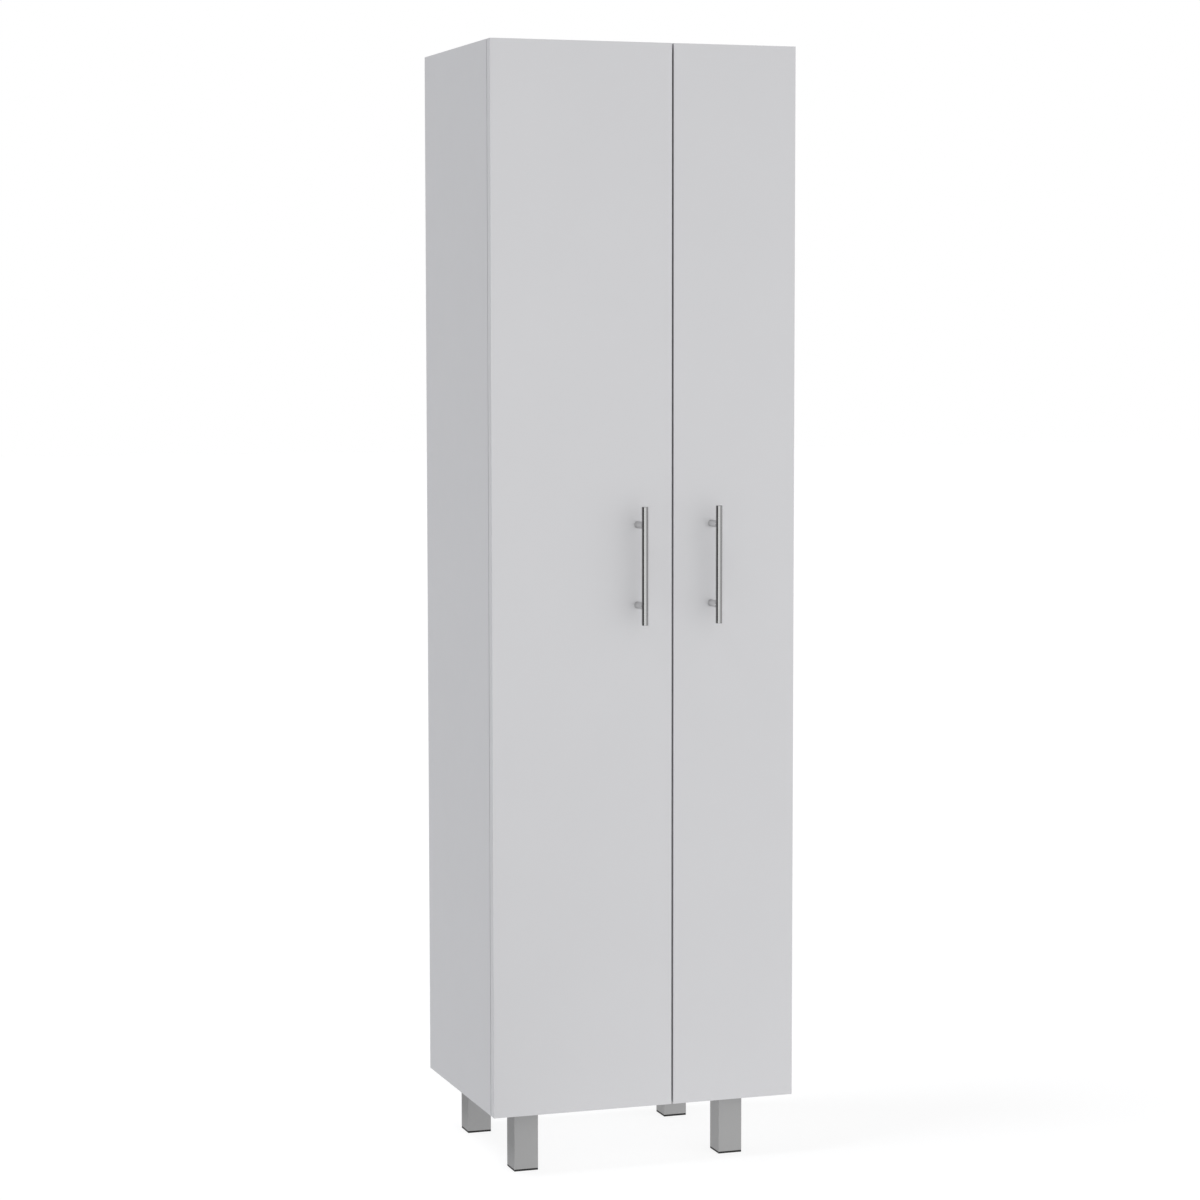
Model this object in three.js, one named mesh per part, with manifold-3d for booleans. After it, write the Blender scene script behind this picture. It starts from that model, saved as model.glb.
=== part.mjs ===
// Broom cupboard with two doors on four square legs: shelves on the left, a tall space on the right.
// Millimetres, +Z up. The doors face -Y, and +X is to the right of someone who faces them.
// The origin is on the floor, under the middle of the box that the cupboard and its handles fill.
import * as THREE from 'three';
import { mergeVertices } from 'three/addons/utils/BufferGeometryUtils.js';
import Module from 'manifold-3d';

const wasm = await Module();
wasm.setup();

// Body: its outer size without the legs and handles
const bodyWidth = 510;
const bodyHeight = 1700;
const bodyDepth = 375;

// Boards of the carcass
const boardThickness = 16;
const backThickness = 3;
const backInset = 8;
const grooveDepth = 7;
const shelfSetback = 20;
const shelfCount = 4;
const looseShelf = 4;
const looseShelfGap = 0.5;

// Clearance between a piece and the hole, groove or seat that holds it, and how far a cut runs past a face
const fitGap = 0.3;
const overrun = 5;

// Doors
const doorThickness = 16;
const leftDoorWidth = 300;
const doorSeam = 3;
const doorGap = 2.25;

// Bar handles
const barRadius = 5;
const barLength = 188;
const postRadius = 5.5;
const postSpacing = 128;
const handleStandoff = 36;
const handleHeight = 877;
const leftHandleInset = 58;
const rightHandleInset = 64;
const saddleDepth = 4;
const handleScrewRadius = 2;
const handleScrewBite = 12;
const handleScrewHeadRadius = 4.2;
const handleScrewHeadHeight = 2.4;
const handleScrewDriveRadius = 1.6;
const handleScrewDriveDepth = 1.2;

// Legs: square tubes with a welded top plate and a plastic cap
const legHeight = 100;
const legSize = 40;
const legWall = 1.5;
const legPlateSize = 60;
const legPlateThickness = 3;
const legScrewRadius = 2.25;
const legScrewInset = 6;
const capThickness = 3;
const capPlugHeight = 14;
const capPlugWall = 2;
const leftLegInset = 46;
const rightLegInset = 73;
const frontLegInset = 40;
const rearLegInset = 31;

// Cup hinges, three to a door
const hingeCount = 3;
const hingeEndDistance = 100;
const openingAngle = 95;
const cupRadius = 17.5;
const cupDepth = 12.5;
const cupWall = 0.6;
const cupEdgeDistance = 3;
const cupFlangeThickness = 1;
const cupFlangeRadius = 7;
const cupFlangeOffset = 6;
const cupScrewSpacing = 48;
const cupScrewRadius = 2.1;
const cheekThickness = 2;
const cheekReach = 2.6;
const pinRadius = 0.8;
const pinWallDistance = 2.8;
const pinEnd = 0.5;
const noseRadius = 1.8;
const noseWidth = 8.5;
const armThickness = 4;
const armWidth = 15;
const armSetback = 3;
const armLength = 55;
const armScrewRadius = 2.6;
const armAdjusterLine = 20;
const armAdjusterRadius = 2;
const plateHeight = 5.7;
const plateWidth = 13;
const plateFront = 16;
const plateRear = 54;
const plateLine = 37;
const wingThickness = 2;
const wingWidth = 12;
const wingSpan = 52;
const plateScrewSpacing = 32;
const plateScrewRadius = 2.3;

// Supports of the loose shelf, and the rows of holes that they plug into
const supportRadius = 2.5;
const supportLength = 9;
const supportSeatLength = 8;
const supportSeatWidth = 8;
const supportSeatHeight = 3.6;
const supportDrop = 1;
const supportFrontLine = 57;
const supportRearLine = 60;
const supportHoleCount = 5;
const supportHolePitch = 32;

// Facets round a full circle
const fineFacets = 32;
const smallFacets = 12;

// Levels that the sizes give
const handleProjection = handleStandoff + barRadius;
const rearY = (bodyDepth + handleProjection) / 2;
const doorFrontY = rearY - bodyDepth;
const doorBackY = doorFrontY + doorThickness;
const carcassFrontY = doorBackY + doorGap;
const backRearY = rearY - backInset;
const backFrontY = backRearY - backThickness;
const leftX = -bodyWidth / 2;
const rightX = bodyWidth / 2;
const leftInnerX = leftX + boardThickness;
const rightInnerX = rightX - boardThickness;
const leftDoorEdgeX = leftX + leftDoorWidth;
const rightDoorEdgeX = leftDoorEdgeX + doorSeam;
const dividerLeftX = (leftDoorEdgeX + rightDoorEdgeX - boardThickness) / 2;
const bottomZ = legHeight;
const topZ = bottomZ + bodyHeight;
const innerBottomZ = bottomZ + boardThickness;
const innerTopZ = topZ - boardThickness;
const bayHeight = (innerTopZ - innerBottomZ - shelfCount * boardThickness) / (shelfCount + 1);

// Places on a hinge, whose own origin is the middle of its pin
const pinInset = cupEdgeDistance + cupWall + pinWallDistance;
const pinDepth = cupDepth - cupWall - fitGap - noseRadius;
const cupCentreU = cupEdgeDistance + cupRadius - pinInset;
const panelInnerU = boardThickness - pinInset;
const plateSeatU = panelInnerU + fitGap;
const armSeatU = plateSeatU + plateHeight + fitGap;
const carcassFrontV = pinDepth + doorGap;
const cheekInnerW = noseWidth / 2 + fitGap;
const cheekOuterW = cheekInnerW + cheekThickness;

// Materials
function finish(color, roughness, metalness) {
  return new THREE.MeshStandardMaterial({ color, roughness, metalness });
}

const melamine = finish(0xe4e4e6, 0.45, 0);
const hardboard = finish(0xdcdcdc, 0.7, 0);
const legMetal = finish(0x9d9ea0, 0.45, 0.6);
const capPlastic = finish(0x202022, 0.6, 0);
const barSteel = finish(0xb9babc, 0.3, 1);
const nickelSteel = finish(0xc4c5c8, 0.35, 1);

// Scene graph
const cupboard = new THREE.Group();
const carcass = new THREE.Group();
const leftDoor = new THREE.Group();
const rightDoor = new THREE.Group();
cupboard.add(carcass, leftDoor, rightDoor);

function addPiece(parent, name, geometry, material) {
  const mesh = new THREE.Mesh(geometry, material);
  mesh.name = name;
  parent.add(mesh);
  return mesh;
}

function addGroup(parent, x, y, z) {
  const group = new THREE.Group();
  group.position.set(x, y, z);
  parent.add(group);
  return group;
}

// Basic shapes: a block between two values on each axis, and round rods along the axes
function block([x0, x1], [y0, y1], [z0, z1]) {
  const geometry = new THREE.BoxGeometry(1, 1, 1);
  const corners = geometry.attributes.position;
  for (let i = 0; i < corners.count; i += 1) {
    const x = corners.getX(i) < 0 ? x0 : x1;
    const y = corners.getY(i) < 0 ? y0 : y1;
    const z = corners.getZ(i) < 0 ? z0 : z1;
    corners.setXYZ(i, x, y, z);
  }
  return geometry;
}

function rodAlongY(radius, y0, y1, x, z, facets) {
  const geometry = new THREE.CylinderGeometry(radius, radius, y1 - y0, facets);
  return geometry.translate(x, (y0 + y1) / 2, z);
}

function rodAlongX(radius, x0, x1, y, z, facets) {
  const geometry = new THREE.CylinderGeometry(radius, radius, x1 - x0, facets);
  return geometry.rotateZ(Math.PI / 2).translate((x0 + x1) / 2, y, z);
}

function rodAlongZ(radius, z0, z1, x, y, facets) {
  const geometry = new THREE.CylinderGeometry(radius, radius, z1 - z0, facets);
  return geometry.rotateX(Math.PI / 2).translate(x, y, (z0 + z1) / 2);
}

// Cutting and joining
function solid(geometry) {
  const bare = geometry.clone();
  bare.deleteAttribute('normal');
  bare.deleteAttribute('uv');
  const merged = mergeVertices(bare);
  const vertProperties = new Float32Array(merged.attributes.position.array);
  const triVerts = new Uint32Array(merged.index.array);
  return new wasm.Manifold(new wasm.Mesh({ numProp: 3, vertProperties, triVerts }));
}

function join(geometries) {
  return geometries.map(solid).reduce((whole, next) => whole.add(next));
}

function cut(body, geometries) {
  return geometries.map(solid).reduce((rest, tool) => rest.subtract(tool), body);
}

function geometryOf(body) {
  const mesh = body.getMesh();
  const geometry = new THREE.BufferGeometry();
  geometry.setAttribute('position', new THREE.BufferAttribute(mesh.vertProperties, 3));
  geometry.setIndex(new THREE.BufferAttribute(mesh.triVerts, 1));
  geometry.computeVertexNormals();
  return geometry;
}

function inOrder(a, b) {
  return a < b ? [a, b] : [b, a];
}

// Heights of the shelves' undersides and of the hinges
function shelfUnderside(number) {
  return innerBottomZ + number * bayHeight + (number - 1) * boardThickness;
}

function hingeHeight(index) {
  const lowest = bottomZ + hingeEndDistance;
  const highest = topZ - hingeEndDistance;
  return lowest + (highest - lowest) * index / (hingeCount - 1);
}

// Rows of support holes, bored into a board from its face at x. Direction is 1 or -1, the way the bit goes.
const supportLines = { front: carcassFrontY + supportFrontLine, rear: backFrontY - supportRearLine };

function supportHoles(faceX, direction) {
  const middleZ = shelfUnderside(looseShelf) - supportDrop - supportRadius;
  const [x0, x1] = inOrder(faceX - direction * overrun, faceX + direction * (supportLength + fitGap));
  const holes = [];
  for (const y of Object.values(supportLines)) {
    for (let i = 0; i < supportHoleCount; i += 1) {
      const z = middleZ + (i - (supportHoleCount - 1) / 2) * supportHolePitch;
      holes.push(rodAlongX(supportRadius + fitGap, x0, x1, y, z, smallFacets));
    }
  }
  return holes;
}

// Carcass boards, grooved for the back
const grooveY = [backFrontY - fitGap, backRearY + fitGap];

function makeSidePanels() {
  const depth = [carcassFrontY, rearY];
  const height = [bottomZ, topZ];
  const grooveZ = [bottomZ - overrun, topZ + overrun];
  const leftBoard = solid(block([leftX, leftInnerX], depth, height));
  const rightBoard = solid(block([rightInnerX, rightX], depth, height));
  const leftGroove = block([leftInnerX - grooveDepth, leftInnerX + overrun], grooveY, grooveZ);
  const rightGroove = block([rightInnerX - overrun, rightInnerX + grooveDepth], grooveY, grooveZ);
  const left = cut(leftBoard, [leftGroove, ...supportHoles(leftInnerX, -1)]);
  const right = cut(rightBoard, [rightGroove]);
  addPiece(carcass, 'left_side_panel', geometryOf(left), melamine);
  addPiece(carcass, 'right_side_panel', geometryOf(right), melamine);
}

function makeTopAndBottomPanels() {
  const width = [leftInnerX, rightInnerX];
  const depth = [carcassFrontY, rearY];
  const grooveX = [leftInnerX - overrun, rightInnerX + overrun];
  const top = solid(block(width, depth, [innerTopZ, topZ]));
  const bottom = solid(block(width, depth, [bottomZ, innerBottomZ]));
  const topGroove = block(grooveX, grooveY, [innerTopZ - overrun, innerTopZ + grooveDepth]);
  const bottomGroove = block(grooveX, grooveY, [innerBottomZ - grooveDepth, innerBottomZ + overrun]);
  addPiece(carcass, 'top_panel', geometryOf(cut(top, [topGroove])), melamine);
  addPiece(carcass, 'bottom_panel', geometryOf(cut(bottom, [bottomGroove])), melamine);
}

function makeDivider() {
  const width = [dividerLeftX, dividerLeftX + boardThickness];
  const board = solid(block(width, [carcassFrontY, backFrontY], [innerBottomZ, innerTopZ]));
  addPiece(carcass, 'divider_panel', geometryOf(cut(board, supportHoles(dividerLeftX, 1))), melamine);
}

function makeBackPanel() {
  const tongue = grooveDepth - fitGap;
  const width = [leftInnerX - tongue, rightInnerX + tongue];
  const height = [innerBottomZ - tongue, innerTopZ + tongue];
  addPiece(carcass, 'back_panel', block(width, [backFrontY, backRearY], height), hardboard);
}

function makeShelves() {
  const depth = [carcassFrontY + shelfSetback, backFrontY];
  for (let number = 1; number <= shelfCount; number += 1) {
    const side = number === looseShelf ? looseShelfGap : 0;
    const width = [leftInnerX + side, dividerLeftX - side];
    const height = [shelfUnderside(number), shelfUnderside(number) + boardThickness];
    addPiece(carcass, `shelf_${number}`, block(width, depth, height), melamine);
  }
}

// Shelf supports: a peg in the board, with a flat seat on it for the loose shelf
function supportGeometry(direction) {
  const tipX = -direction * (fitGap + supportSeatLength);
  const [pegX0, pegX1] = inOrder(direction * supportLength, tipX);
  const peg = rodAlongX(supportRadius, pegX0, pegX1, 0, -supportDrop - supportRadius, smallFacets);
  const seatY = [-supportSeatWidth / 2, supportSeatWidth / 2];
  const seat = block(inOrder(-direction * fitGap, tipX), seatY, [-supportSeatHeight, 0]);
  return geometryOf(join([peg, seat]));
}

function makeShelfSupports() {
  for (const [side, faceX, direction] of [['left', leftInnerX, -1], ['right', dividerLeftX, 1]]) {
    for (const [end, y] of Object.entries(supportLines)) {
      const spot = addGroup(carcass, faceX, y, shelfUnderside(looseShelf));
      addPiece(spot, `shelf_support_${side}_${end}`, supportGeometry(direction), nickelSteel);
    }
  }
}

// Doors, bored from behind for the hinge cups and right through for the handle screws
function makeDoor(group, name, [x0, x1], hingeX, direction, handleX) {
  const board = solid(block([x0, x1], [doorFrontY, doorBackY], [bottomZ, topZ]));
  const cupX = hingeX + direction * cupCentreU;
  const cupFloorY = doorBackY - cupDepth - fitGap;
  const holes = [];
  for (let i = 0; i < hingeCount; i += 1) {
    const z = hingeHeight(i);
    holes.push(rodAlongY(cupRadius + fitGap, cupFloorY, doorBackY + overrun, cupX, z, fineFacets));
  }
  for (const z of postHeights()) {
    const radius = handleScrewRadius + fitGap;
    holes.push(rodAlongY(radius, doorFrontY - overrun, doorBackY + overrun, handleX, z, smallFacets));
  }
  addPiece(group, name, geometryOf(cut(board, holes)), melamine);
}

// Handles: a bar on two posts, screwed through the door from inside
function handleZ() {
  return bottomZ + handleHeight;
}

function postHeights() {
  return [handleZ() - postSpacing / 2, handleZ() + postSpacing / 2];
}

function postGeometry() {
  const frontEnd = -handleStandoff + barRadius - saddleDepth;
  const post = solid(rodAlongY(postRadius, frontEnd, 0, 0, 0, fineFacets));
  const reach = postRadius + overrun;
  const saddle = rodAlongZ(barRadius + fitGap, -reach, reach, 0, -handleStandoff, fineFacets);
  const bore = rodAlongY(handleScrewRadius + fitGap, -handleScrewBite - fitGap, overrun, 0, 0, smallFacets);
  return geometryOf(cut(post, [saddle, bore]));
}

function screwGeometry() {
  const headTopY = doorThickness + handleScrewHeadHeight;
  const driveFloorY = headTopY - handleScrewDriveDepth;
  const shank = rodAlongY(handleScrewRadius, -handleScrewBite, driveFloorY, 0, 0, smallFacets);
  const head = rodAlongY(handleScrewHeadRadius, doorThickness, headTopY, 0, 0, smallFacets);
  const drive = rodAlongY(handleScrewDriveRadius, driveFloorY, headTopY + overrun, 0, 0, smallFacets);
  return geometryOf(cut(join([shank, head]), [drive]));
}

function makeHandle(group, side, x) {
  const handle = addGroup(group, x, doorFrontY, handleZ());
  const half = barLength / 2;
  const bar = rodAlongZ(barRadius, -half, half, 0, -handleStandoff, fineFacets);
  addPiece(handle, `${side}_handle_bar`, bar, barSteel);
  for (const [end, z] of [['upper', postSpacing / 2], ['lower', -postSpacing / 2]]) {
    const spot = addGroup(handle, 0, 0, z);
    addPiece(spot, `${side}_handle_post_${end}`, postGeometry(), barSteel);
    addPiece(spot, `${side}_handle_screw_${end}`, screwGeometry(), nickelSteel);
  }
}

// Legs
function legGeometry() {
  const half = legSize / 2;
  const inner = half - legWall;
  const plateHalf = legPlateSize / 2;
  const footZ = -legHeight + capThickness;
  const plate = block([-plateHalf, plateHalf], [-plateHalf, plateHalf], [-legPlateThickness, 0]);
  const tube = block([-half, half], [-half, half], [footZ, -legPlateThickness]);
  const inside = block([-inner, inner], [-inner, inner], [footZ - overrun, -legPlateThickness]);
  const holes = [];
  const reach = plateHalf - legScrewInset;
  for (const [x, y] of [[-reach, -reach], [reach, -reach], [reach, reach], [-reach, reach]]) {
    holes.push(rodAlongZ(legScrewRadius, -legPlateThickness - overrun, overrun, x, y, smallFacets));
  }
  return geometryOf(cut(join([plate, tube]), [inside, ...holes]));
}

function capGeometry() {
  const half = legSize / 2;
  const plug = half - legWall - fitGap;
  const hollow = plug - capPlugWall;
  const floorZ = -legHeight;
  const rimZ = floorZ + capThickness;
  const plugTopZ = rimZ + capPlugHeight;
  const base = block([-half, half], [-half, half], [floorZ, rimZ]);
  const wall = block([-plug, plug], [-plug, plug], [rimZ, plugTopZ]);
  const inside = block([-hollow, hollow], [-hollow, hollow], [rimZ, plugTopZ + overrun]);
  return geometryOf(cut(join([base, wall]), [inside]));
}

function makeLegs() {
  const half = legSize / 2;
  const columns = [['left', leftX + leftLegInset + half], ['right', rightX - rightLegInset - half]];
  const rows = [['front', doorFrontY + frontLegInset + half], ['rear', rearY - rearLegInset - half]];
  for (const [row, y] of rows) {
    for (const [column, x] of columns) {
      const leg = addGroup(carcass, x, y, bottomZ);
      addPiece(leg, `leg_${row}_${column}`, legGeometry(), legMetal);
      addPiece(leg, `leg_cap_${row}_${column}`, capGeometry(), capPlastic);
    }
  }
}

// Hinge cup: a round pot let into the door, with screw ears and two cheeks that hold the pin.
// On a hinge, x runs from the pin towards the door's free edge and y runs back into the carcass.
function cupFlange(topV) {
  const u = cupCentreU + cupFlangeOffset;
  const half = cupScrewSpacing / 2;
  const shape = new THREE.Shape();
  shape.absarc(u, half, cupFlangeRadius, 0, Math.PI, false);
  shape.absarc(u, -half, cupFlangeRadius, Math.PI, 2 * Math.PI, false);
  for (const w of [half, -half]) {
    const hole = new THREE.Path();
    hole.absarc(u, w, cupScrewRadius, 0, 2 * Math.PI, true);
    shape.holes.push(hole);
  }
  const settings = { depth: cupFlangeThickness, bevelEnabled: false, curveSegments: smallFacets / 2 };
  return new THREE.ExtrudeGeometry(shape, settings).rotateX(Math.PI / 2).translate(0, topV, 0);
}

function cupGeometry() {
  const topV = pinDepth + fitGap + cupFlangeThickness;
  const floorV = pinDepth - cupDepth;
  const pot = rodAlongY(cupRadius, floorV, topV, cupCentreU, 0, fineFacets);
  const outer = join([pot, cupFlange(topV)]);
  const innerRadius = cupRadius - cupWall;
  const hollow = solid(rodAlongY(innerRadius, floorV + cupWall, topV + overrun, cupCentreU, 0, fineFacets));
  const cheekU = [-cupRadius, cheekReach];
  const cheekV = [floorV, cheekReach];
  const cheeks = [
    block(cheekU, cheekV, [cheekInnerW, cheekOuterW]),
    block(cheekU, cheekV, [-cheekOuterW, -cheekInnerW]),
  ];
  const reach = cheekOuterW + pinEnd;
  const pinHole = solid(rodAlongZ(pinRadius + fitGap, -reach, reach, 0, 0, smallFacets));
  return geometryOf(outer.subtract(cut(hollow, cheeks)).subtract(pinHole));
}

function pinGeometry() {
  const half = cheekOuterW + pinEnd - fitGap;
  return rodAlongZ(pinRadius, -half, half, 0, 0, smallFacets);
}

// Hinge arm: a nose round the pin, a short reach along the cup, then a leg back to the plate.
// The reach thins by the angle past square that the door opens to, so the cup's wall clears it.
function armGeometry() {
  const lean = THREE.MathUtils.degToRad(openingAngle) - Math.PI / 2;
  const outerU = armSeatU + armThickness;
  const rearV = carcassFrontV + armLength;
  const shape = new THREE.Shape();
  shape.moveTo(armSeatU, noseRadius - armSeatU * Math.tan(lean));
  shape.lineTo(armSeatU, rearV);
  shape.lineTo(outerU, rearV);
  shape.lineTo(outerU, -noseRadius);
  shape.lineTo(0, -noseRadius);
  shape.absarc(0, 0, noseRadius, -Math.PI / 2, -3 * Math.PI / 2, true);
  const settings = { depth: noseWidth, bevelEnabled: false, curveSegments: smallFacets / 2 };
  const bent = new THREE.ExtrudeGeometry(shape, settings).translate(0, 0, -noseWidth / 2);
  const bodyV = [carcassFrontV + armSetback, rearV];
  const body = block([armSeatU, outerU], bodyV, [-armWidth / 2, armWidth / 2]);
  const [holeU0, holeU1] = [armSeatU - overrun, outerU + overrun];
  const pinHole = rodAlongZ(pinRadius + fitGap, -noseWidth, noseWidth, 0, 0, smallFacets);
  const screwHole = rodAlongX(armScrewRadius, holeU0, holeU1, carcassFrontV + plateLine, 0, smallFacets);
  const adjusterV = carcassFrontV + armAdjusterLine;
  const adjusterHole = rodAlongX(armAdjusterRadius, holeU0, holeU1, adjusterV, 0, smallFacets);
  return geometryOf(cut(join([bent, body]), [pinHole, screwHole, adjusterHole]));
}

// Hinge plate: a raised block for the arm and two wings screwed to the side panel
function plateGeometry() {
  const lineV = carcassFrontV + plateLine;
  const raisedV = [carcassFrontV + plateFront, carcassFrontV + plateRear];
  const raised = block([plateSeatU, plateSeatU + plateHeight], raisedV, [-plateWidth / 2, plateWidth / 2]);
  const wingV = [lineV - wingWidth / 2, lineV + wingWidth / 2];
  const wings = block([plateSeatU, plateSeatU + wingThickness], wingV, [-wingSpan / 2, wingSpan / 2]);
  const [holeU0, holeU1] = [plateSeatU - overrun, plateSeatU + wingThickness + overrun];
  const holes = [];
  for (const w of [plateScrewSpacing / 2, -plateScrewSpacing / 2]) {
    holes.push(rodAlongX(plateScrewRadius, holeU0, holeU1, lineV, w, smallFacets));
  }
  return geometryOf(cut(join([raised, wings]), holes));
}

function makeHinges(side, hingeX, turn, doorGroup) {
  const levels = ['lower', 'middle', 'upper'];
  for (let i = 0; i < hingeCount; i += 1) {
    const name = `${side}_hinge_${levels[i] ?? i + 1}`;
    const fixed = addGroup(carcass, hingeX, doorBackY - pinDepth, hingeHeight(i));
    const moving = addGroup(doorGroup, hingeX, doorBackY - pinDepth, hingeHeight(i));
    fixed.rotation.y = turn;
    moving.rotation.y = turn;
    addPiece(moving, `${name}_cup`, cupGeometry(), nickelSteel);
    addPiece(moving, `${name}_pin`, pinGeometry(), nickelSteel);
    addPiece(fixed, `${name}_arm`, armGeometry(), nickelSteel);
    addPiece(fixed, `${name}_plate`, plateGeometry(), nickelSteel);
  }
}

// Assembly
const leftHingeX = leftX + pinInset;
const rightHingeX = rightX - pinInset;
const leftHandleX = leftDoorEdgeX - leftHandleInset;
const rightHandleX = rightDoorEdgeX + rightHandleInset;

makeSidePanels();
makeTopAndBottomPanels();
makeDivider();
makeBackPanel();
makeShelves();
makeShelfSupports();
makeLegs();
makeDoor(leftDoor, 'left_door', [leftX, leftDoorEdgeX], leftHingeX, 1, leftHandleX);
makeDoor(rightDoor, 'right_door', [rightDoorEdgeX, rightX], rightHingeX, -1, rightHandleX);
makeHandle(leftDoor, 'left', leftHandleX);
makeHandle(rightDoor, 'right', rightHandleX);
makeHinges('left', leftHingeX, 0, leftDoor);
makeHinges('right', rightHingeX, Math.PI, rightDoor);

export default cupboard;
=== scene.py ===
"""Looks of the broom cupboard: finishes, softened edges, small fittings, light and camera.

Metres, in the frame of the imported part: +Z is up, the doors face -Y and the floor is at zero.
Only the camera's lens and sensor are in millimetres.
"""

import math

import bmesh
import bpy
from mathutils import Matrix, Vector


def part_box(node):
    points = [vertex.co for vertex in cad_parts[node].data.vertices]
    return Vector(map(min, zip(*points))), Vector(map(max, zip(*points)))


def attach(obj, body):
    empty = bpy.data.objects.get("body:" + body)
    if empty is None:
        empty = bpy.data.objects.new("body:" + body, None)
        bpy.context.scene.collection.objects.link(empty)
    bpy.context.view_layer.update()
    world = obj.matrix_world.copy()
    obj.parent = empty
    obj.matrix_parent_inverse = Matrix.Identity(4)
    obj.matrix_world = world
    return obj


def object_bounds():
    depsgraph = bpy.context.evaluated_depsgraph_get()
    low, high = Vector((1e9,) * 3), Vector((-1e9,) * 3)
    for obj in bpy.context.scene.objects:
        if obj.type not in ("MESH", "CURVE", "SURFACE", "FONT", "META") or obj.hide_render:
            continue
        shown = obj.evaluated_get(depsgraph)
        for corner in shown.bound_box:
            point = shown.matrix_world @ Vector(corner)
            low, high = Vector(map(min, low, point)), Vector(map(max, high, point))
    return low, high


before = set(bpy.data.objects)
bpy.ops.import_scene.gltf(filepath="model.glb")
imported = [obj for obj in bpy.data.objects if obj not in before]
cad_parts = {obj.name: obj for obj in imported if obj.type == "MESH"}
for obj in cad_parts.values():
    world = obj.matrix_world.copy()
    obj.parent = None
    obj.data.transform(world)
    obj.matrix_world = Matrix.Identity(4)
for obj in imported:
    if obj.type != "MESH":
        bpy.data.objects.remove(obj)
cad_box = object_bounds()

# Camera, solved from the straight edges in the photograph
LENS = 96.144
SENSOR = 36
CAMERA_TARGET = Vector((-0.07604, -0.167, 0.92255))
CAMERA_DISTANCE = 5.084
CAMERA_AZIMUTH = math.radians(-18.652)
CAMERA_ELEVATION = math.radians(4.769)
CAMERA_ROLL = math.radians(-0.0702)

# Light. A level of 1 shows a surface that faces the lamp in the colour that it is written in.
WORLD_LEVEL = 0.30
WORLD_COLOUR = (0.985, 0.99, 1.0)
LAMPS = {
    "key": {"place": (30, 8), "level": 0.393, "spread": math.radians(90), "colour": (1.0, 0.995, 0.99)},
    "front": {"place": (-19, 3), "level": 0.05, "spread": math.radians(8), "colour": (1.0, 1.0, 1.0)},
    "fill": {"place": (-90, 63), "level": 0.355, "spread": math.radians(24), "colour": (0.95, 0.97, 1.03)},
    "top": {"place": (0, 85), "level": 0.08, "spread": math.radians(90), "colour": (1.0, 1.0, 1.0)},
    "rear": {"place": (180, 15), "level": 0.20, "spread": math.radians(80), "colour": (1.0, 1.0, 1.0)},
}

# Floor, and the cards that only metal and gloss see
FLOOR_HALF_WIDTH = 30
FLOOR_DROP = 0.0002
FLOOR_COLOUR = (0.25, 0.25, 0.25, 1)
FLOOR_WHITE = 0.82
FLOOR_GLOW_LEFT = 0.42
FLOOR_GLOW_RIGHT = 0.75
FLOOR_GLOW_FADE = 0.08
FLOOR_GLOW_INSET = 0.03
CARD_DISTANCE = 3
CARD_HEIGHT = 2.2
CARD_STEPS = 12
CARDS = {
    "front_card": {"angles": (-53, 12), "level": 2.6},
    "right_card": {"angles": (12, 92), "level": 1.4},
    "left_card": {"angles": (-53, -100), "level": 0.02},
}

# Softened edges of the solids, by material slot
EDGE_RADII = {
    "white_melamine": 0.0005,
    "white_hardboard": 0.0003,
    "leg_metal": 0.0006,
    "cap_plastic": 0.0005,
    "handle_steel": 0.0004,
    "nickel_steel": 0.0003,
}
POST_EDGE_RADIUS = 0.0002
EDGE_SEGMENTS = 2
EDGE_ANGLE = math.radians(40)
WELD_DISTANCE = 0.000002

# Depth of the relief in each finish
RELIEF_DEPTHS = {
    "melamine": 0.00004,
    "hardboard": 0.0001,
    "leg": 0.00003,
    "cap": 0.00005,
    "brushed": 0.00001,
    "nickel": 0.00002,
    "buffer": 0.00002,
    "white_plastic": 0.00003,
}

# How far from the door the handles' posts carry painted shade, which darkens their steel towards the door
POST_PAINTED_SHADE_LENGTH = 0.012

# Painted shade in the seam between the doors: a greyer band over the doors' edges there, and how far it
# wraps round to the front
SEAM_PAINTED_SHADE_COLOUR = (0.555, 0.555, 0.567)
SEAM_PAINTED_SHADE_WRAP = 0.0002

# Screws and small fittings
ROUND_STEPS = 32
CUP_SCREW_SPACING = 0.048
CUP_SCREW_OFFSET = 0.006
PLATE_LINE = 0.037
PLATE_SCREW_SPACING = 0.032
ADJUSTER_LINE = 0.020
LEG_SCREW_INSET = 0.006
LEG_PLATE_THICKNESS = 0.003
WING_THICKNESS = 0.002
WOOD_SCREW = {"radius": 0.0037, "height": 0.0017, "cross": 0.0042, "slot": 0.0009, "depth": 0.0012}
ARM_SCREW = {"radius": 0.0042, "height": 0.0020, "cross": 0.0046, "slot": 0.0010, "depth": 0.0014}
ADJUSTER_SCREW = {"radius": 0.0019, "height": 0.0004, "cross": 0.0024, "slot": 0.0006, "depth": 0.0008}
CUP_SCREW_TURN = 0.4
PLATE_SCREW_TURN = 0.9
ADJUSTER_SCREW_TURN = 0.3
BUFFER_RADIUS = 0.004
BUFFER_HEIGHT = 0.0018
BUFFER_INSET = 0.012
CAM_CAP_RADIUS = 0.0085
CAM_CAP_HEIGHT = 0.0008
CAM_INSET = 0.034
CAM_FRONT_LINE = 0.060
CAM_REAR_LINE = 0.060

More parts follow.
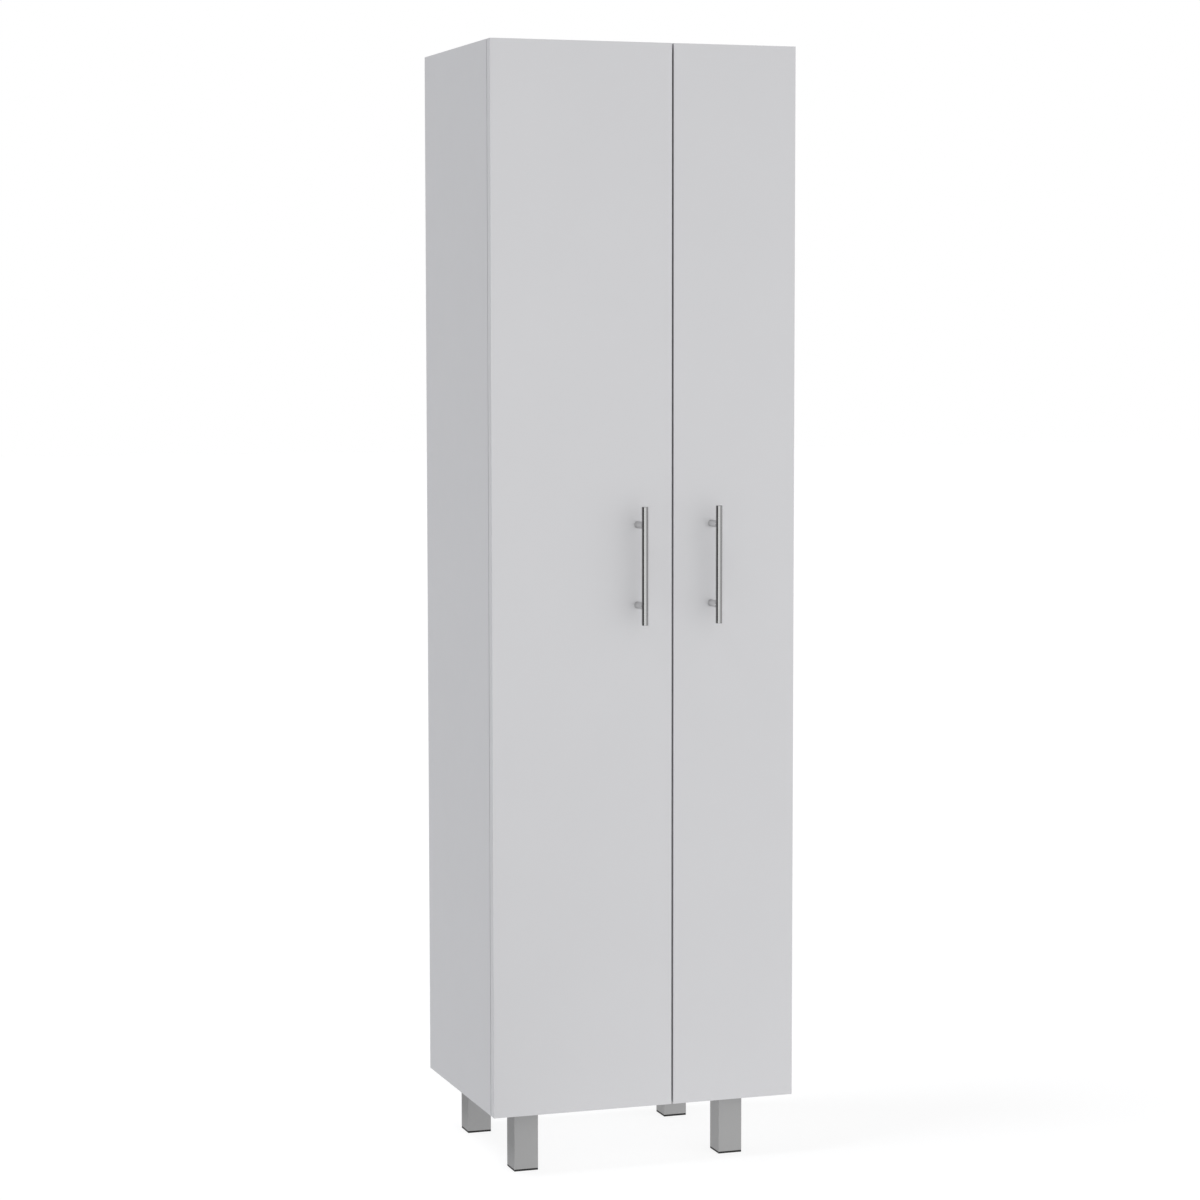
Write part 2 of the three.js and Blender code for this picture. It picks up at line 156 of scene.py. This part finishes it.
# Profiles of the domed discs, from the rim up, as shares of their radius and height, and how small the
# floor of a screw's cross is beside its mouth
SCREW_HEAD_SHARES = ((0.9, 0), (1, 0.12), (0.98, 0.45), (0.87, 0.78), (0.68, 0.96), (0.58, 1))
SCREW_FLOOR_SHARE = 0.5
BUFFER_SHARES = ((1, 0), (0.97, 0.35), (0.82, 0.7), (0.55, 0.92), (0.25, 1))
CAM_CAP_SHARES = ((1, 0), (1, 0.5), (0.95, 0.9), (0.88, 1), (0.5, 0.92))

# The two ends of an upright pair, and which way each lies from the middle
ENDS = {"top": 1, "bottom": -1}


# Meshes
def new_piece(name, mesh_code, finish, body):
    """An object of that name, riding on a body, with the mesh that mesh_code makes."""
    mesh = bpy.data.meshes.new(name)
    mesh_code.to_mesh(mesh)
    mesh_code.free()
    piece = bpy.data.objects.new(name, mesh)
    bpy.context.scene.collection.objects.link(piece)
    mesh.materials.append(finish)
    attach(piece, body)
    return piece


def ring(mesh_code, radius, height):
    """Points round the Z axis at one height."""
    points = []
    for i in range(ROUND_STEPS):
        turn = 2 * math.pi * i / ROUND_STEPS
        points.append(mesh_code.verts.new((radius * math.cos(turn), radius * math.sin(turn), height)))
    return points


def skin(mesh_code, lower, upper):
    """Faces between two rings with the same number of points."""
    count = len(lower)
    for i in range(count):
        j = (i + 1) % count
        mesh_code.faces.new((lower[i], lower[j], upper[j], upper[i]))


def edges_of(mesh_code, points):
    """The closed line of edges through the points, made where it isn't there yet."""
    edges = []
    for i, point in enumerate(points):
        other = points[(i + 1) % len(points)]
        edges.append(mesh_code.edges.get((point, other)) or mesh_code.edges.new((point, other)))
    return edges


def cross_points(mesh_code, reach, half_slot, height):
    """The twelve corners of a cross, anticlockwise."""
    points = []
    for quarter in range(4):
        turn = Matrix.Rotation(quarter * math.pi / 2, 3, "Z")
        for corner in ((reach, -half_slot), (reach, half_slot), (half_slot, half_slot)):
            points.append(mesh_code.verts.new(turn @ Vector((*corner, height))))
    return points


def dome_rings(mesh_code, radius, height, shares):
    """Rings of a domed disc, from its rim up. Each pair is a share of the radius and of the height."""
    rings = [ring(mesh_code, radius * across, height * up) for across, up in shares]
    for lower, upper in zip(rings, rings[1:]):
        skin(mesh_code, lower, upper)
    return rings


def screw_mesh(radius, height, cross, slot, depth):
    """A screw's domed head with a tapered cross in it, standing on zero."""
    mesh_code = bmesh.new()
    rings = dome_rings(mesh_code, radius, height, SCREW_HEAD_SHARES)
    mesh_code.faces.new(reversed(rings[0]))
    reach = cross / 2
    half_slot = slot / 2
    mouth = cross_points(mesh_code, reach, half_slot, height)
    floor_reach = reach * SCREW_FLOOR_SHARE
    floor_points = cross_points(mesh_code, floor_reach, half_slot * SCREW_FLOOR_SHARE, height - depth)
    skin(mesh_code, floor_points, mouth)
    mesh_code.faces.new(floor_points)
    bmesh.ops.triangle_fill(mesh_code, edges=edges_of(mesh_code, rings[-1]) + edges_of(mesh_code, mouth))
    bmesh.ops.recalc_face_normals(mesh_code, faces=mesh_code.faces)
    return mesh_code


def cap_mesh(radius, height, shares):
    """A low round cap with a closed top, standing on zero."""
    mesh_code = bmesh.new()
    rings = dome_rings(mesh_code, radius, height, shares)
    mesh_code.faces.new(reversed(rings[0]))
    mesh_code.faces.new(rings[-1])
    bmesh.ops.recalc_face_normals(mesh_code, faces=mesh_code.faces)
    return mesh_code


def aimed(mesh_code, place, way, turn=0):
    """Turns a mesh that stands on zero so that its top faces that way, and moves it into place."""
    facing = Vector(way).to_track_quat("Z", "Y").to_matrix().to_4x4()
    spin = Matrix.Rotation(turn, 4, "Z")
    bmesh.ops.transform(mesh_code, matrix=Matrix.Translation(place) @ facing @ spin, verts=mesh_code.verts)
    return mesh_code


# Finishes
class Finish:
    """A material with one Principled shader, and short ways to add the nodes that feed it."""

    def __init__(self, name, **sockets):
        self.material = bpy.data.materials.new(name)
        self.material.use_nodes = True
        self.tree = self.material.node_tree
        self.shader = self.tree.nodes["Principled BSDF"]
        for socket, value in sockets.items():
            self.shader.inputs[socket.replace("_", " ")].default_value = value
        self.place = self.tree.nodes.new("ShaderNodeTexCoord").outputs["Object"]

    def join(self, source, target):
        """Links an output to an input."""
        self.tree.links.new(source, target)

    def noise(self, scale, detail=2, stretch=(1, 1, 1)):
        """Noise with that many cells in a metre, as a value from 0 to 1."""
        mapping = self.tree.nodes.new("ShaderNodeMapping")
        mapping.inputs["Scale"].default_value = stretch
        texture = self.tree.nodes.new("ShaderNodeTexNoise")
        texture.inputs["Scale"].default_value = scale
        texture.inputs["Detail"].default_value = detail
        self.join(self.place, mapping.inputs["Vector"])
        self.join(mapping.outputs["Vector"], texture.inputs["Vector"])
        return texture.outputs["Fac"]

    def axis(self, letter):
        """Where a point lies along that axis."""
        axes = self.tree.nodes.new("ShaderNodeSeparateXYZ")
        self.join(self.place, axes.inputs["Vector"])
        return axes.outputs[letter]

    def near_x(self, centre, reach):
        """1 within that reach of a place on the X axis, and 0 elsewhere."""
        near = self.tree.nodes.new("ShaderNodeMath")
        near.operation = "COMPARE"
        near.inputs[1].default_value = centre
        near.inputs[2].default_value = reach
        self.join(self.axis("X"), near.inputs[0])
        return near.outputs["Value"]

    def along_y(self, start, end):
        """A value that goes from 0 to 1 between two places on the Y axis."""
        span = self.tree.nodes.new("ShaderNodeMapRange")
        span.inputs["From Min"].default_value = start
        span.inputs["From Max"].default_value = end
        self.join(self.axis("Y"), span.inputs["Value"])
        return span.outputs["Result"]

    def colour(self, factor, dark, light):
        """The colour goes from dark to light as the factor goes from 0 to 1."""
        mix = self.tree.nodes.new("ShaderNodeMix")
        mix.data_type = "RGBA"
        mix.inputs["A"].default_value = (*dark, 1)
        mix.inputs["B"].default_value = (*light, 1)
        self.join(factor, mix.inputs["Factor"])
        self.join(mix.outputs["Result"], self.shader.inputs["Base Color"])

    def overlay(self, factor, colour):
        """Lays a colour over the base colour where the factor is 1."""
        mix = self.tree.nodes.new("ShaderNodeMix")
        mix.data_type = "RGBA"
        mix.inputs["B"].default_value = (*colour, 1)
        self.join(self.shader.inputs["Base Color"].links[0].from_socket, mix.inputs["A"])
        self.join(factor, mix.inputs["Factor"])
        self.join(mix.outputs["Result"], self.shader.inputs["Base Color"])

    def roughness(self, factor, smooth, rough):
        """The roughness goes from smooth to rough as the factor goes from 0 to 1."""
        span = self.tree.nodes.new("ShaderNodeMapRange")
        span.inputs["To Min"].default_value = smooth
        span.inputs["To Max"].default_value = rough
        self.join(factor, span.inputs["Value"])
        self.join(span.outputs["Result"], self.shader.inputs["Roughness"])

    def bump(self, height, distance, strength):
        """Relief of that depth, added on top of any that is there already."""
        relief = self.tree.nodes.new("ShaderNodeBump")
        relief.inputs["Distance"].default_value = distance
        relief.inputs["Strength"].default_value = strength
        self.join(height, relief.inputs["Height"])
        before = self.shader.inputs["Normal"].links
        if before:
            self.join(before[0].from_socket, relief.inputs["Normal"])
        self.join(relief.outputs["Normal"], self.shader.inputs["Normal"])


def melamine(name):
    """Pearl-textured white melamine."""
    finish = Finish(name, Specular_IOR_Level=0.35)
    finish.colour(finish.noise(7, 3), (0.648, 0.648, 0.662), (0.664, 0.664, 0.678))
    finish.roughness(finish.noise(45, 2), 0.42, 0.50)
    finish.bump(finish.noise(1100, 2), RELIEF_DEPTHS["melamine"], 0.25)
    return finish


def door_finish():
    """Melamine with painted shade: a slightly greyer band over the doors' edges in the seam between them.
    """
    finish = melamine("door_finish")
    left_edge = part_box("left_door")[1].x
    right_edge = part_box("right_door")[0].x
    reach = (right_edge - left_edge) / 2 + SEAM_PAINTED_SHADE_WRAP
    # Painted shade: a greyer band over the door edges in the seam, wrapping a little onto the fronts.
    finish.overlay(finish.near_x((left_edge + right_edge) / 2, reach), SEAM_PAINTED_SHADE_COLOUR)
    return finish.material


def hardboard_finish():
    """White hardboard: lacquered, with the faint print of the press screen."""
    finish = Finish("hardboard_finish")
    finish.colour(finish.noise(60, 4), (0.60, 0.60, 0.60), (0.64, 0.64, 0.64))
    finish.roughness(finish.noise(120, 2), 0.52, 0.66)
    finish.bump(finish.noise(500, 3), RELIEF_DEPTHS["hardboard"], 0.3)
    return finish.material


def leg_finish():
    """Aluminium-coloured lacquer with fine flakes."""
    finish = Finish("leg_finish", Specular_IOR_Level=0.05)
    finish.colour(finish.noise(3500, 1), (0.380, 0.380, 0.380), (0.422, 0.422, 0.422))
    finish.roughness(finish.noise(160, 2), 0.55, 0.65)
    finish.bump(finish.noise(700, 2), RELIEF_DEPTHS["leg"], 0.2)
    return finish.material


def cap_finish():
    """Black moulded plastic with a fine grain."""
    finish = Finish("cap_finish", Specular_IOR_Level=0.25)
    finish.colour(finish.noise(300, 2), (0.008, 0.008, 0.008), (0.014, 0.014, 0.014))
    finish.roughness(finish.noise(200, 2), 0.45, 0.6)
    finish.bump(finish.noise(2500, 2), RELIEF_DEPTHS["cap"], 0.4)
    return finish.material


def brush(finish, stretch):
    """Brushes a steel across the largest stretch, in its gloss and relief, and returns the strokes."""
    strokes = finish.noise(1, 3, stretch)
    finish.roughness(strokes, 0.10, 0.18)
    finish.bump(strokes, RELIEF_DEPTHS["brushed"], 0.15)
    return strokes


def bar_finish():
    """Brushed steel of the bars."""
    finish = Finish("bar_finish", Metallic=1, Specular_Tint=(0.4, 0.4, 0.4, 1))
    strokes = brush(finish, (40, 40, 9000))
    finish.colour(strokes, (0.21, 0.21, 0.21), (0.24, 0.24, 0.24))
    return finish.material


def post_finish():
    """Brighter brushed steel of the posts, with painted shade that darkens it towards the door, where the
    posts meet it.
    """
    finish = Finish("post_finish", Metallic=1, Specular_Tint=(0.58, 0.58, 0.58, 1))
    brush(finish, (40, 9000, 40))
    # Painted shade: the posts' colour darkens towards the door, standing in for the shade where they meet
    # it.
    door_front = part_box("left_door")[0].y
    reach = finish.along_y(door_front, door_front - POST_PAINTED_SHADE_LENGTH)
    finish.colour(reach, (0.66, 0.66, 0.66), (0.91, 0.91, 0.91))
    return finish.material


def nickel_finish():
    """Bright nickel plate with the slight cloudiness of pressed steel."""
    finish = Finish("nickel_finish", Metallic=1)
    finish.colour(finish.noise(90, 2), (0.63, 0.62, 0.60), (0.68, 0.67, 0.65))
    finish.roughness(finish.noise(250, 2), 0.22, 0.30)
    finish.bump(finish.noise(900, 2), RELIEF_DEPTHS["nickel"], 0.2)
    return finish.material


def buffer_finish():
    """Clear soft plastic."""
    finish = Finish("buffer_finish", IOR=1.45, Transmission_Weight=0.6)
    finish.colour(finish.noise(200, 2), (0.80, 0.80, 0.79), (0.88, 0.88, 0.87))
    finish.roughness(finish.noise(300, 2), 0.15, 0.25)
    finish.bump(finish.noise(1500, 2), RELIEF_DEPTHS["buffer"], 0.2)
    return finish.material


def white_plastic_finish():
    """White moulded plastic of the cam caps."""
    finish = Finish("white_plastic_finish")
    finish.colour(finish.noise(150, 2), (0.68, 0.68, 0.67), (0.73, 0.73, 0.72))
    finish.roughness(finish.noise(250, 2), 0.35, 0.45)
    finish.bump(finish.noise(2000, 2), RELIEF_DEPTHS["white_plastic"], 0.2)
    return finish.material


DOOR_FINISH = door_finish()
POST_FINISH = post_finish()
BUFFER_FINISH = buffer_finish()
WHITE_PLASTIC_FINISH = white_plastic_finish()
FINISHES = {
    "white_melamine": melamine("melamine_finish").material,
    "white_hardboard": hardboard_finish(),
    "leg_metal": leg_finish(),
    "cap_plastic": cap_finish(),
    "handle_steel": bar_finish(),
    "nickel_steel": nickel_finish(),
}


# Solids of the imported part
def soften(node, radius):
    """Joins the node's split faces and rounds its sharp edges, with modifiers alone."""
    mesh = node.data
    split_normals = mesh.attributes.get("custom_normal")
    if split_normals:
        mesh.attributes.remove(split_normals)
    mesh.polygons.foreach_set("use_smooth", [True] * len(mesh.polygons))
    weld = node.modifiers.new("join_faces", "WELD")
    weld.merge_threshold = WELD_DISTANCE
    bevel = node.modifiers.new("soft_edges", "BEVEL")
    bevel.width = radius
    bevel.segments = EDGE_SEGMENTS
    bevel.limit_method = "ANGLE"
    bevel.angle_limit = EDGE_ANGLE
    bevel.harden_normals = True


def look_of(name, slot):
    """The finish and the edge radius of a solid, by its name where its slot isn't enough."""
    if "_handle_post_" in name:
        return POST_FINISH, POST_EDGE_RADIUS
    if name.endswith("_door"):
        return DOOR_FINISH, EDGE_RADII[slot]
    return FINISHES[slot], EDGE_RADII[slot]


def dress_solids():
    """Gives each solid its finish and its softened edges."""
    for name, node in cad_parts.items():
        finish, radius = look_of(name, node.data.materials[0].name)
        node.data.materials[0] = finish
        soften(node, radius)


# Screws and small fittings
def add_screw(name, body, size, place, way, turn):
    """A nickel-plated screw of that size, its head facing that way."""
    screw = aimed(screw_mesh(**size), place, way, turn)
    return new_piece(name, screw, FINISHES["nickel_steel"], body)


def cup_middle(hinge):
    """The middle of a hinge's cup, in its rear face."""
    low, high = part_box(f"{hinge}_cup")
    return Vector(((low.x + high.x) / 2, high.y, (low.z + high.z) / 2))


def carcass_front():
    """Where the front edges of the carcass lie on the Y axis."""
    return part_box("left_side_panel")[0].y


def add_cup_screws(hinge, body, inward, count):
    """Two screws, above and below the cup."""
    middle = cup_middle(hinge)
    x = middle.x + inward * CUP_SCREW_OFFSET
    for end, step in ENDS.items():
        place = Vector((x, middle.y, middle.z + step * CUP_SCREW_SPACING / 2))
        turn = CUP_SCREW_TURN + count + step
        add_screw(f"{hinge}_cup_screw_{end}", body, WOOD_SCREW, place, (0, 1, 0), turn)


def add_plate_screws(hinge, inward, count):
    """Two screws in the plate's wings."""
    low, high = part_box(f"{hinge}_plate")
    wall_x = low.x if inward > 0 else high.x
    x = wall_x + inward * WING_THICKNESS
    for end, step in ENDS.items():
        z = cup_middle(hinge).z + step * PLATE_SCREW_SPACING / 2
        place = Vector((x, carcass_front() + PLATE_LINE, z))
        turn = PLATE_SCREW_TURN + count * step
        add_screw(f"{hinge}_plate_screw_{end}", "carcass", WOOD_SCREW, place, (inward, 0, 0), turn)


def add_arm_screws(hinge, inward, count):
    """The screw that fixes the arm to its plate, and the one that adjusts it."""
    low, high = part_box(f"{hinge}_arm")
    x = high.x if inward > 0 else low.x
    z = cup_middle(hinge).z
    way = (inward, 0, 0)
    place = Vector((x, carcass_front() + PLATE_LINE, z))
    add_screw(f"{hinge}_arm_screw", "carcass", ARM_SCREW, place, way, count)
    place = Vector((x, carcass_front() + ADJUSTER_LINE, z))
    add_screw(f"{hinge}_adjuster_screw", "carcass", ADJUSTER_SCREW, place, way, ADJUSTER_SCREW_TURN)


def make_hinge_screws():
    """All screws of the six hinges. Inward is 1 or -1, the way from the side panel to the middle."""
    for side, body, inward in (("left", "left_leaf", 1), ("right", "right_leaf", -1)):
        for count, level in enumerate(("lower", "middle", "upper")):
            hinge = f"{side}_hinge_{level}"
            add_cup_screws(hinge, body, inward, count)
            add_plate_screws(hinge, inward, count)
            add_arm_screws(hinge, inward, count)


def make_leg_screws():
    """Four screws in the corners of each leg's plate, heads down."""
    for row in ("front", "rear"):
        for column in ("left", "right"):
            low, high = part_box(f"leg_{row}_{column}")
            z = high.z - LEG_PLATE_THICKNESS
            corners = [
                (low.x + LEG_SCREW_INSET, low.y + LEG_SCREW_INSET),
                (high.x - LEG_SCREW_INSET, low.y + LEG_SCREW_INSET),
                (high.x - LEG_SCREW_INSET, high.y - LEG_SCREW_INSET),
                (low.x + LEG_SCREW_INSET, high.y - LEG_SCREW_INSET),
            ]
            for count, (x, y) in enumerate(corners, start=1):
                name = f"leg_{row}_{column}_screw_{count}"
                add_screw(name, "carcass", WOOD_SCREW, Vector((x, y, z)), (0, 0, -1), count)


def make_door_buffers():
    """A clear bumper at the top and bottom of each door's free edge."""
    for side, body in (("left", "left_leaf"), ("right", "right_leaf")):
        low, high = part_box(f"{side}_door")
        free_x = high.x - BUFFER_INSET if side == "left" else low.x + BUFFER_INSET
        for end, z in (("top", high.z - BUFFER_INSET), ("bottom", low.z + BUFFER_INSET)):
            buffer = cap_mesh(BUFFER_RADIUS, BUFFER_HEIGHT, BUFFER_SHARES)
            aimed(buffer, Vector((free_x, high.y, z)), (0, 1, 0))
            new_piece(f"{side}_door_buffer_{end}", buffer, BUFFER_FINISH, body)


def make_cam_caps():
    """White caps over the cam fittings that hold the top, the bottom and the fixed shelves."""
    for board in ("top_panel", "bottom_panel", "shelf_1", "shelf_2", "shelf_3"):
        low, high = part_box(board)
        places = [
            (x, y)
            for x in (low.x + CAM_INSET, high.x - CAM_INSET)
            for y in (low.y + CAM_FRONT_LINE, high.y - CAM_REAR_LINE)
        ]
        for count, (x, y) in enumerate(places, start=1):
            cap = cap_mesh(CAM_CAP_RADIUS, CAM_CAP_HEIGHT, CAM_CAP_SHARES)
            aimed(cap, Vector((x, y, low.z)), (0, 0, -1))
            new_piece(f"{board}_cam_cap_{count}", cap, WHITE_PLASTIC_FINISH, "carcass")


# Studio
def direction(azimuth, elevation):
    """A unit vector from the object: azimuth 0 is straight in front, and positive to the right."""
    a = math.radians(azimuth)
    e = math.radians(elevation)
    return Vector((math.sin(a) * math.cos(e), -math.cos(a) * math.cos(e), math.sin(e)))


def add_lamp(name, place, level, spread, colour):
    """A very large soft lamp, as far off as a sun, which metal doesn't mirror."""
    data = bpy.data.lights.new(name, "SUN")
    data.energy = level * math.pi
    data.angle = spread
    data.color = colour
    lamp = bpy.data.objects.new(name, data)
    lamp.rotation_euler = direction(*place).to_track_quat("Z", "Y").to_euler()
    lamp.visible_glossy = False
    bpy.context.scene.collection.objects.link(lamp)


def seen_directly(tree):
    """1 for the rays that show a background: straight to the camera, or by way of metal or glass."""
    path = tree.nodes.new("ShaderNodeLightPath")
    total = path.outputs["Is Camera Ray"]
    for ray in ("Is Glossy Ray", "Is Transmission Ray"):
        larger = tree.nodes.new("ShaderNodeMath")
        larger.operation = "MAXIMUM"
        tree.links.new(total, larger.inputs[0])
        tree.links.new(path.outputs[ray], larger.inputs[1])
        total = larger.outputs["Value"]
    return total


def make_world():
    """White where it is seen, and a plain cool light on the object."""
    world = bpy.data.worlds.new("studio")
    world.use_nodes = True
    tree = world.node_tree
    light = tree.nodes["Background"]
    light.inputs["Color"].default_value = (*WORLD_COLOUR, 1)
    light.inputs["Strength"].default_value = WORLD_LEVEL
    white = tree.nodes.new("ShaderNodeBackground")
    white.inputs["Color"].default_value = (1, 1, 1, 1)
    mix = tree.nodes.new("ShaderNodeMixShader")
    tree.links.new(seen_directly(tree), mix.inputs["Fac"])
    tree.links.new(light.outputs["Background"], mix.inputs[1])
    tree.links.new(white.outputs["Background"], mix.inputs[2])
    tree.links.new(mix.outputs["Shader"], tree.nodes["World Output"].inputs["Surface"])
    bpy.context.scene.world = world


def stage_piece(name, mesh_code, material):
    """A floor or card of that name, which isn't part of the object."""
    mesh = bpy.data.meshes.new(name)
    mesh_code.to_mesh(mesh)
    mesh_code.free()
    mesh.materials.append(material)
    piece = bpy.data.objects.new(name, mesh)
    bpy.context.scene.collection.objects.link(piece)
    return piece


def floor_material():
    """Pale matt floor, lit a little from below. A glow lifts it to white where it is seen.

    The glow that falls on the object is weaker beside the left side than in front and underneath.
    """
    material = bpy.data.materials.new("floor_finish")
    material.use_nodes = True
    tree = material.node_tree
    shader = tree.nodes["Principled BSDF"]
    shader.inputs["Base Color"].default_value = FLOOR_COLOUR
    shader.inputs["Roughness"].default_value = 1
    shader.inputs["Specular IOR Level"].default_value = 0
    shader.inputs["Emission Color"].default_value = (1, 1, 1, 1)
    place = tree.nodes.new("ShaderNodeTexCoord")
    across = tree.nodes.new("ShaderNodeSeparateXYZ")
    tree.links.new(place.outputs["Object"], across.inputs["Vector"])
    bounce = tree.nodes.new("ShaderNodeMapRange")
    bounce.inputs["From Min"].default_value = cad_box[0].x + FLOOR_GLOW_INSET - FLOOR_GLOW_FADE
    bounce.inputs["From Max"].default_value = cad_box[0].x + FLOOR_GLOW_INSET + FLOOR_GLOW_FADE
    bounce.inputs["To Min"].default_value = FLOOR_GLOW_LEFT
    bounce.inputs["To Max"].default_value = FLOOR_GLOW_RIGHT
    tree.links.new(across.outputs["X"], bounce.inputs["Value"])
    glow = tree.nodes.new("ShaderNodeMapRange")
    glow.inputs["To Max"].default_value = FLOOR_WHITE
    tree.links.new(bounce.outputs["Result"], glow.inputs["To Min"])
    tree.links.new(seen_directly(tree), glow.inputs["Value"])
    tree.links.new(glow.outputs["Result"], shader.inputs["Emission Strength"])
    return material


def make_floor():
    """A very large floor just under the legs' caps."""
    mesh_code = bmesh.new()
    bmesh.ops.create_grid(mesh_code, x_segments=1, y_segments=1, size=FLOOR_HALF_WIDTH)
    floor = stage_piece("floor", mesh_code, floor_material())
    floor.location.z = -FLOOR_DROP
    floor.visible_shadow = False


def make_card(name, angles, level):
    """A tall curved card that is only seen in metal and gloss."""
    material = bpy.data.materials.new(f"{name}_finish")
    material.use_nodes = True
    shader = material.node_tree.nodes["Principled BSDF"]
    shader.inputs["Base Color"].default_value = (0, 0, 0, 1)
    shader.inputs["Emission Color"].default_value = (1, 1, 1, 1)
    shader.inputs["Emission Strength"].default_value = level
    mesh_code = bmesh.new()
    start, end = angles
    columns = []
    for i in range(CARD_STEPS + 1):
        foot = direction(start + (end - start) * i / CARD_STEPS, 0) * CARD_DISTANCE
        head = foot + Vector((0, 0, CARD_HEIGHT))
        columns.append((mesh_code.verts.new(foot), mesh_code.verts.new(head)))
    for (foot, head), (next_foot, next_head) in zip(columns, columns[1:]):
        mesh_code.faces.new((foot, next_foot, next_head, head))
    card = stage_piece(name, mesh_code, material)
    card.visible_camera = False
    card.visible_diffuse = False
    card.visible_shadow = False
    card.visible_transmission = False


def make_camera():
    """The camera that took the photograph."""
    back = direction(math.degrees(CAMERA_AZIMUTH), math.degrees(CAMERA_ELEVATION))
    level_right = Vector((math.cos(CAMERA_AZIMUTH), math.sin(CAMERA_AZIMUTH), 0))
    level_up = back.cross(level_right)
    right = level_right * math.cos(CAMERA_ROLL) + level_up * math.sin(CAMERA_ROLL)
    up = back.cross(right)
    data = bpy.data.cameras.new("photo_camera")
    data.sensor_width = SENSOR
    data.lens = LENS
    camera = bpy.data.objects.new("photo_camera", data)
    turn = Matrix((right, up, back)).transposed().to_4x4()
    camera.matrix_world = Matrix.Translation(CAMERA_TARGET + back * CAMERA_DISTANCE) @ turn
    bpy.context.scene.collection.objects.link(camera)
    bpy.context.scene.camera = camera


dress_solids()
make_hinge_screws()
make_leg_screws()
make_door_buffers()
make_cam_caps()
make_floor()
for card_name, card in CARDS.items():
    make_card(card_name, **card)
make_world()
for lamp_name, lamp in LAMPS.items():
    add_lamp(lamp_name, **lamp)
make_camera()
bpy.context.scene.view_settings.view_transform = "Standard"
